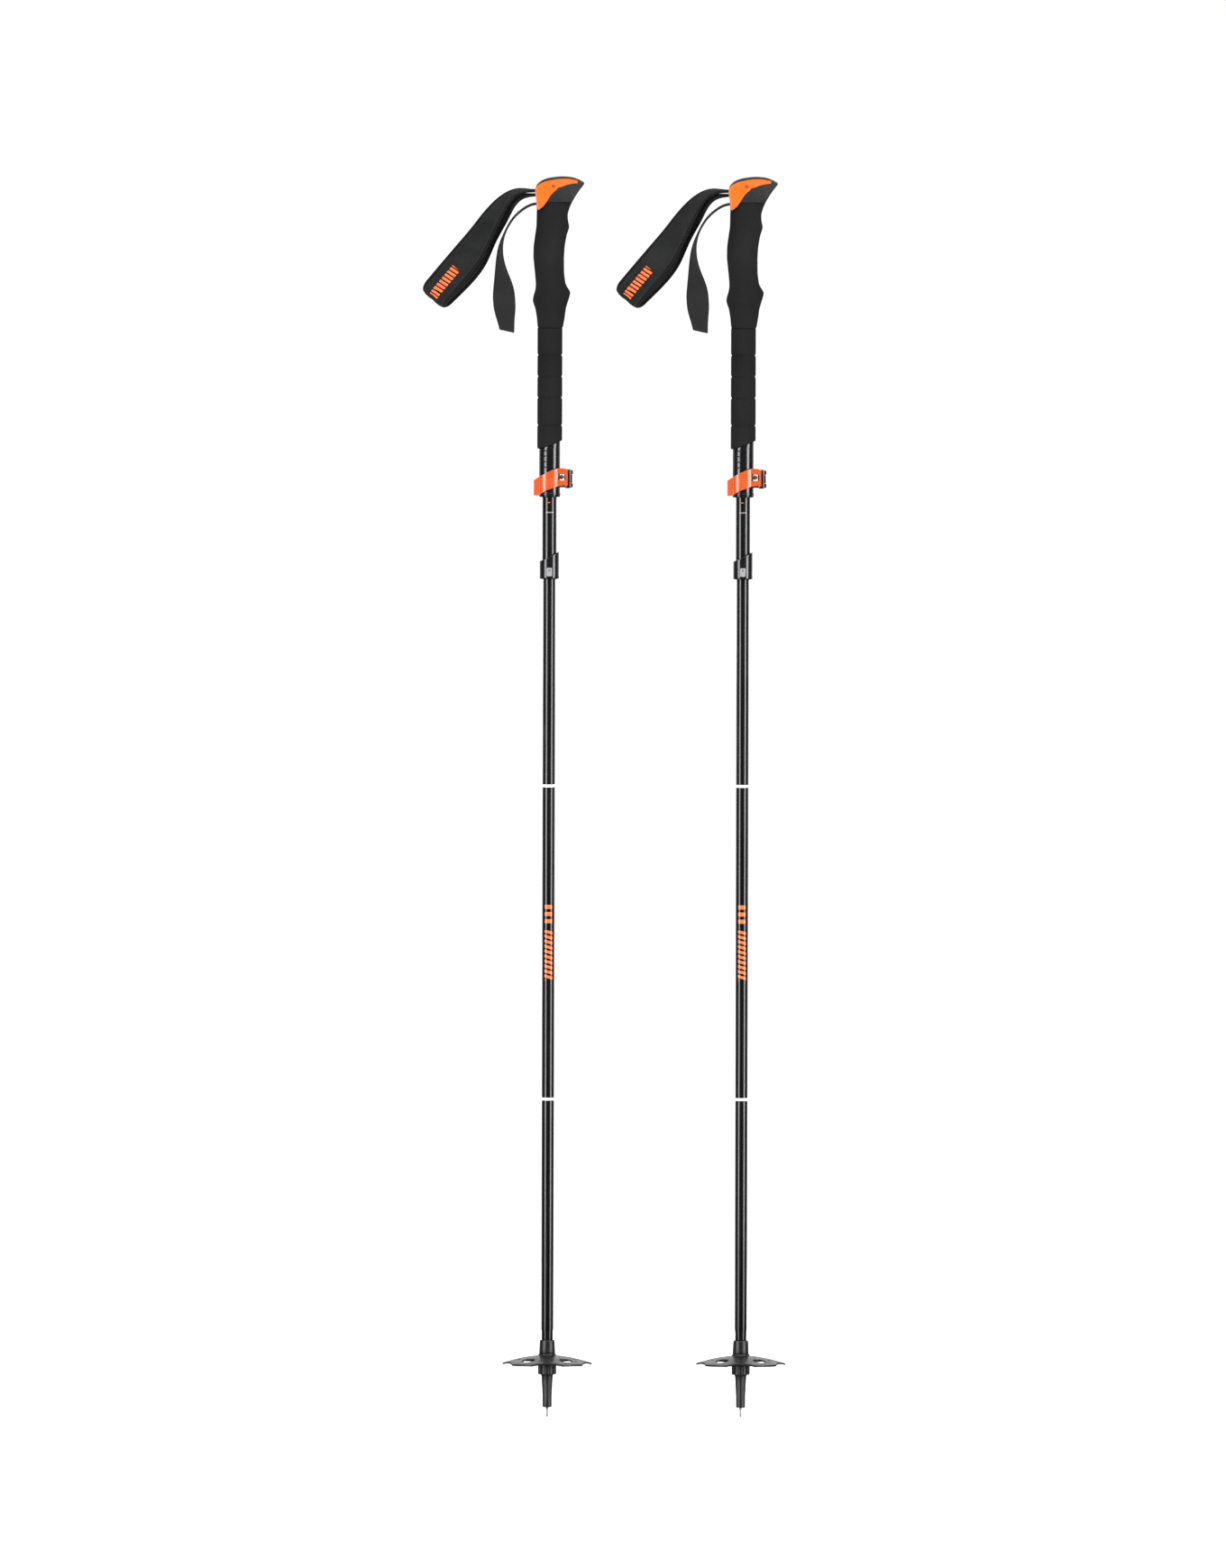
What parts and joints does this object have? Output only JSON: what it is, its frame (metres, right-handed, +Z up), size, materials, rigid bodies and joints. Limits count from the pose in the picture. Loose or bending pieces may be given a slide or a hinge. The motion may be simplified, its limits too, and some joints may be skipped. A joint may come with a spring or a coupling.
{
  "type": "trekking poles",
  "caption": "Pair of folding trekking poles with foam grips, wrist straps, lever clamps for length, push-button fold locks and snow-and-mud baskets.",
  "frame": {"origin": "on the left pole's axis in the middle of its foam grip, 1150 mm above its tip, where a hand holds it", "axes": "+Z up along both poles towards the heads, +X the way the beaks point, from the left pole to the right one, -Y the side of the clamp levers and lock buttons"},
  "size_m": [0.3608, 0.0854, 1.2193],
  "materials": {
    "dark_head_plastic": "satin moulded plastic",
    "orange_trim": "satin",
    "pad_rubber": "matte",
    "foam": "matte, fine closed cells",
    "clamp_plastic": "satin",
    "lever_orange": "satin",
    "black_tube": "gloss anodised",
    "bush_plastic": "matte",
    "steel": "satin",
    "brass_screw": "satin",
    "spring_steel": "polished",
    "carbide": "polished",
    "strap_padding": "matte knit over padding",
    "webbing": "matte woven",
    "cord_sheath": "matte braid",
    "ring_white": "satin",
    "spigot_plastic": "matte",
    "basket_plastic": "satin"
  },
  "bodies": {
    "left_handle": {"left_grip_head": "dark_head_plastic", "left_head_trim": "orange_trim", "left_palm_pad": "pad_rubber", "left_strap_wedge": "dark_head_plastic", "left_strap_pin": "orange_trim", "left_grip_foam": "foam", "left_grip_extension": "foam", "left_upper_tube": "black_tube", "left_clamp_body": "clamp_plastic", "left_clamp_screw": "brass_screw"},
    "left_strap": {"left_strap_loop": "strap_padding", "left_strap_tail": "webbing"},
    "left_clamp_lever": {"left_lever": "lever_orange", "left_lever_pin": "steel"},
    "left_adjuster": {"left_adjust_tube": "black_tube", "left_adjust_bush": "bush_plastic", "left_lock_collar": "clamp_plastic"},
    "left_button": {"left_lock_button": "steel"},
    "left_upper_section": {"left_upper_section_tube": "black_tube", "left_stop_bush": "bush_plastic", "left_lock_spring": "spring_steel"},
    "left_upper_link": {"left_upper_joint_cord": "cord_sheath"},
    "left_middle_section": {"left_middle_section_tube": "black_tube", "left_joint_spigots": "spigot_plastic", "left_joint_rings": "ring_white"},
    "left_lower_link": {"left_lower_joint_cord": "cord_sheath"},
    "left_lower_section": {"left_lower_section_tube": "black_tube", "left_tip_ferrule": "basket_plastic", "left_basket": "basket_plastic", "left_carbide_tip": "carbide"},
    "right_handle": {"right_grip_head": "dark_head_plastic", "right_head_trim": "orange_trim", "right_palm_pad": "pad_rubber", "right_strap_wedge": "dark_head_plastic", "right_strap_pin": "orange_trim", "right_grip_foam": "foam", "right_grip_extension": "foam", "right_upper_tube": "black_tube", "right_clamp_body": "clamp_plastic", "right_clamp_screw": "brass_screw"},
    "right_strap": {"right_strap_loop": "strap_padding", "right_strap_tail": "webbing"},
    "right_clamp_lever": {"right_lever": "lever_orange", "right_lever_pin": "steel"},
    "right_adjuster": {"right_adjust_tube": "black_tube", "right_adjust_bush": "bush_plastic", "right_lock_collar": "clamp_plastic"},
    "right_button": {"right_lock_button": "steel"},
    "right_upper_section": {"right_upper_section_tube": "black_tube", "right_stop_bush": "bush_plastic", "right_lock_spring": "spring_steel"},
    "right_upper_link": {"right_upper_joint_cord": "cord_sheath"},
    "right_middle_section": {"right_middle_section_tube": "black_tube", "right_joint_spigots": "spigot_plastic", "right_joint_rings": "ring_white"},
    "right_lower_link": {"right_lower_joint_cord": "cord_sheath"},
    "right_lower_section": {"right_lower_section_tube": "black_tube", "right_tip_ferrule": "basket_plastic", "right_basket": "basket_plastic", "right_carbide_tip": "carbide"}
  },
  "joints": [
    {"name": "poles_apart", "type": "slide", "parent": "left_handle", "child": "right_handle", "axis": [1, 0, 0], "range_m": [0, 0.3]},
    {"name": "left_strap_swing", "type": "hinge", "parent": "left_handle", "child": "left_strap", "pos_m": [-0.014, 0, 0.05], "axis": [0, 1, 0], "range_deg": [-8, 26]},
    {"name": "left_clamp_open", "type": "hinge", "parent": "left_handle", "child": "left_clamp_lever", "pos_m": [0.018, -0.001, -0.2275], "axis": [0, 0, 1], "range_deg": [0, 150]},
    {"name": "left_length_adjust", "type": "slide", "parent": "left_handle", "child": "left_adjuster", "axis": [0, 0, -1], "range_m": [-0.05, 0.15]},
    {"name": "left_button_press", "type": "slide", "parent": "left_adjuster", "child": "left_button", "axis": [0, 1, 0], "range_m": [0, 0.002], "stiffness_N_per_m": 800, "springref_m": -0.002, "deforming": ["left_lock_spring"]},
    {"name": "left_section_release", "type": "slide", "parent": "left_adjuster", "child": "left_upper_section", "axis": [0, 0, 1], "range_m": [0, 0.045], "deforming": ["left_lock_spring"]},
    {"name": "left_upper_joint_pull", "type": "slide", "parent": "left_upper_section", "child": "left_upper_link", "axis": [0, 0, -1], "range_m": [0, 0.035], "stiffness_N_per_m": 150, "springref_m": -0.05},
    {"name": "left_upper_joint_fold", "type": "hinge", "parent": "left_upper_link", "child": "left_middle_section", "pos_m": [0, 0.0065, -0.5282], "axis": [1, 0, 0], "range_deg": [0, 174], "deforming": ["left_upper_joint_cord"]},
    {"name": "left_lower_joint_pull", "type": "slide", "parent": "left_middle_section", "child": "left_lower_link", "axis": [0, 0, -1], "range_m": [0, 0.035], "stiffness_N_per_m": 150, "springref_m": -0.05},
    {"name": "left_lower_joint_fold", "type": "hinge", "parent": "left_lower_link", "child": "left_lower_section", "pos_m": [0, -0.0065, -0.839], "axis": [-1, 0, 0], "range_deg": [0, 170], "deforming": ["left_lower_joint_cord"]},
    {"name": "right_strap_swing", "type": "hinge", "parent": "right_handle", "child": "right_strap", "pos_m": [0.176, 0, 0.05], "axis": [0, 1, 0], "range_deg": [-8, 26]},
    {"name": "right_clamp_open", "type": "hinge", "parent": "right_handle", "child": "right_clamp_lever", "pos_m": [0.208, -0.001, -0.2275], "axis": [0, 0, 1], "range_deg": [0, 150]},
    {"name": "right_length_adjust", "type": "slide", "parent": "right_handle", "child": "right_adjuster", "axis": [0, 0, -1], "range_m": [-0.05, 0.15]},
    {"name": "right_button_press", "type": "slide", "parent": "right_adjuster", "child": "right_button", "axis": [0, 1, 0], "range_m": [0, 0.002], "stiffness_N_per_m": 800, "springref_m": -0.002, "deforming": ["right_lock_spring"]},
    {"name": "right_section_release", "type": "slide", "parent": "right_adjuster", "child": "right_upper_section", "axis": [0, 0, 1], "range_m": [0, 0.045], "deforming": ["right_lock_spring"]},
    {"name": "right_upper_joint_pull", "type": "slide", "parent": "right_upper_section", "child": "right_upper_link", "axis": [0, 0, -1], "range_m": [0, 0.035], "stiffness_N_per_m": 150, "springref_m": -0.05},
    {"name": "right_upper_joint_fold", "type": "hinge", "parent": "right_upper_link", "child": "right_middle_section", "pos_m": [0.19, 0.0065, -0.5282], "axis": [1, 0, 0], "range_deg": [0, 174], "deforming": ["right_upper_joint_cord"]},
    {"name": "right_lower_joint_pull", "type": "slide", "parent": "right_middle_section", "child": "right_lower_link", "axis": [0, 0, -1], "range_m": [0, 0.035], "stiffness_N_per_m": 150, "springref_m": -0.05},
    {"name": "right_lower_joint_fold", "type": "hinge", "parent": "right_lower_link", "child": "right_lower_section", "pos_m": [0.19, -0.0065, -0.839], "axis": [-1, 0, 0], "range_deg": [0, 170], "deforming": ["right_lower_joint_cord"]}
  ]
}
